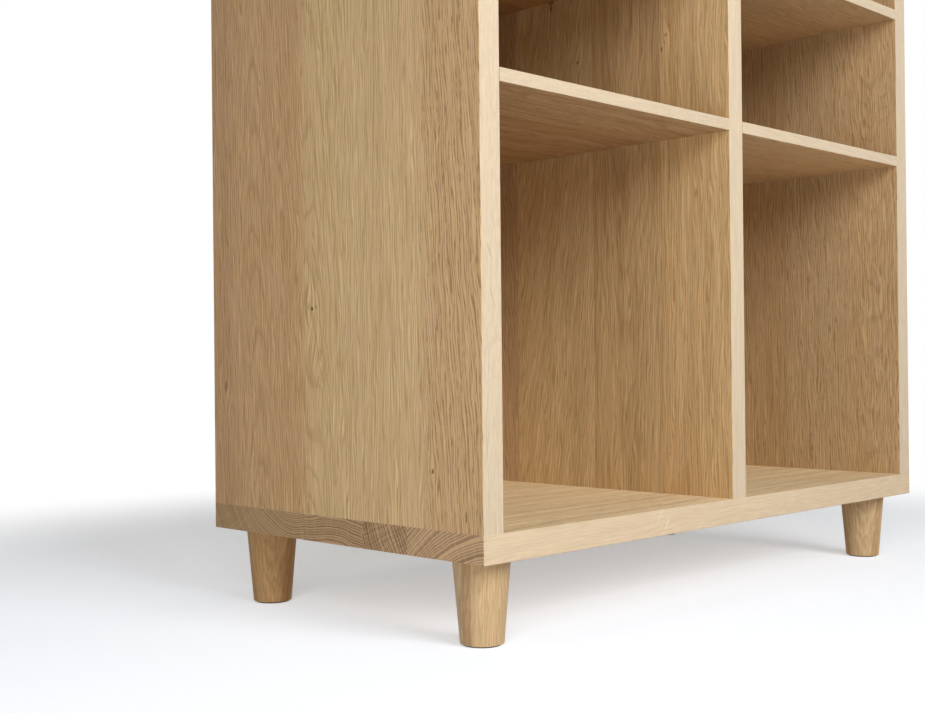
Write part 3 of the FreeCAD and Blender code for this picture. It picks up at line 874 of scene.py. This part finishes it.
def makeFloor():
    bpy.ops.mesh.primitive_plane_add(size=floorLook["size"])
    floor = bpy.context.object
    floor.name = "studioFloor"
    material = bpy.data.materials.new("paleFloor")
    material.use_nodes = True
    tree = material.node_tree
    tree.nodes.clear()

    def matt(color):
        node = tree.nodes.new("ShaderNodeBsdfDiffuse")
        node.inputs["Color"].default_value = rgba(color)
        return node.outputs[0]

    def white(strength):
        node = tree.nodes.new("ShaderNodeEmission")
        node.inputs["Strength"].default_value = strength
        return node.outputs[0]

    def blend(factor, a, b):
        node = tree.nodes.new("ShaderNodeMixShader")
        for socket, value in zip(node.inputs, (factor, a, b)):
            plug(tree, socket, value)
        return node.outputs[0]

    near = tree.nodes.new("ShaderNodeAddShader")
    plug(tree, near.inputs[0], matt(floorLook["shown"]))
    plug(tree, near.inputs[1], white(floorLook["glow"]))
    distance = tree.nodes.new("ShaderNodeVectorMath")
    distance.operation = "LENGTH"
    plug(tree, distance.inputs[0], objectPlace(tree))
    away = ramp(tree, distance.outputs["Value"], floorLook["fadeFrom"], floorLook["fadeTo"])
    shown = blend(away, near.outputs[0], white(1.0))
    surface = blend(seenDirectly(tree), matt(floorLook["bounce"]), shown)
    output = tree.nodes.new("ShaderNodeOutputMaterial")
    plug(tree, output.inputs["Surface"], surface)
    floor.data.materials.append(material)
    return floor


def makeWorld(ambient):
    world = bpy.data.worlds.new("studioWorld")
    scene.world = world
    world.use_nodes = True
    tree = world.node_tree
    background = tree.nodes["Background"]
    background.inputs["Color"].default_value = (1, 1, 1, 1)
    strength = calc(tree, "MULTIPLY_ADD", seenDirectly(tree), 1.0 - ambient, ambient)
    plug(tree, background.inputs["Strength"], strength)


# Lights: azimuth 0 stands in front of the case, 90 to its left. Lengths in m, angles in degrees.

lights = {
    "aim": (-0.15, -0.10, 0.35),
    "ambient": 0.115,
    "onCase": {
        "keySoftbox": dict(azimuth=17, elevation=30, distance=3.0, size=1.7, power=80),
        "nearSoftbox": dict(azimuth=74, elevation=-7, distance=1.1, size=0.5, power=2.25),
        "backFill": dict(azimuth=226, elevation=35, distance=3.2, size=2.4, power=78),
    },
    "onFloor": {
        "frontWash": dict(azimuth=4, elevation=14, distance=3.0, size=1.8, power=100),
        "leftWash": dict(azimuth=52, elevation=16, distance=3.0, size=1.8, power=60),
    },
}


def makeSoftbox(name, settings, lit):
    lamp = bpy.data.lights.new(name, "AREA")
    lamp.size = settings["size"]
    lamp.energy = settings["power"]
    box = bpy.data.objects.new(name, lamp)
    scene.collection.objects.link(box)
    azimuth = math.radians(settings["azimuth"])
    elevation = math.radians(settings["elevation"])
    towards = Vector((-math.sin(azimuth) * math.cos(elevation), -math.cos(azimuth) * math.cos(elevation),
                      math.sin(elevation)))
    box.location = Vector(lights["aim"]) + towards * settings["distance"]
    box.rotation_euler = towards.to_track_quat("Z", "Y").to_euler()
    box.visible_camera = False
    box.light_linking.receiver_collection = lit


def makeLights(floor):
    # the case and the floor have lamps of their own, and each casts its shadow on the other
    for group, pieces in (("onCase", nodes.values()), ("onFloor", [floor])):
        lit = bpy.data.collections.new(group)
        for piece in pieces:
            lit.objects.link(piece)
        for name, settings in lights[group].items():
            makeSoftbox(name, settings, lit)


# Camera: level, a quarter of a metre above the floor, off the front left corner

cameraView = {
    "place": (-1.1741, -0.9585, 0.2543),
    "heading": 44.984,      # degrees from +Y towards +X
    "rise": 0.191,          # degrees
    "roll": -0.560,         # degrees
    "lens": 49.85,          # mm on a 36 mm sensor
    "sensor": 36.0,
}


def makeCamera():
    heading, rise, roll = (math.radians(cameraView[key]) for key in ("heading", "rise", "roll"))
    ahead = Vector((math.sin(heading) * math.cos(rise), math.cos(heading) * math.cos(rise), math.sin(rise)))
    level = Vector((math.cos(heading), -math.sin(heading), 0))
    upright = level.cross(ahead)
    right = level * math.cos(roll) + upright * math.sin(roll)
    above = upright * math.cos(roll) - level * math.sin(roll)
    data = bpy.data.cameras.new("camera")
    data.lens = cameraView["lens"]
    data.sensor_width = cameraView["sensor"]
    camera = bpy.data.objects.new("camera", data)
    scene.collection.objects.link(camera)
    turned = Matrix((right, above, -ahead)).transposed().to_4x4()
    turned.translation = Vector(cameraView["place"])
    camera.matrix_world = turned
    scene.camera = camera


floor = makeFloor()
makeWorld(lights["ambient"])
makeLights(floor)
makeCamera()
scene.view_settings.view_transform = "Standard"
print("floor, lights and camera done")
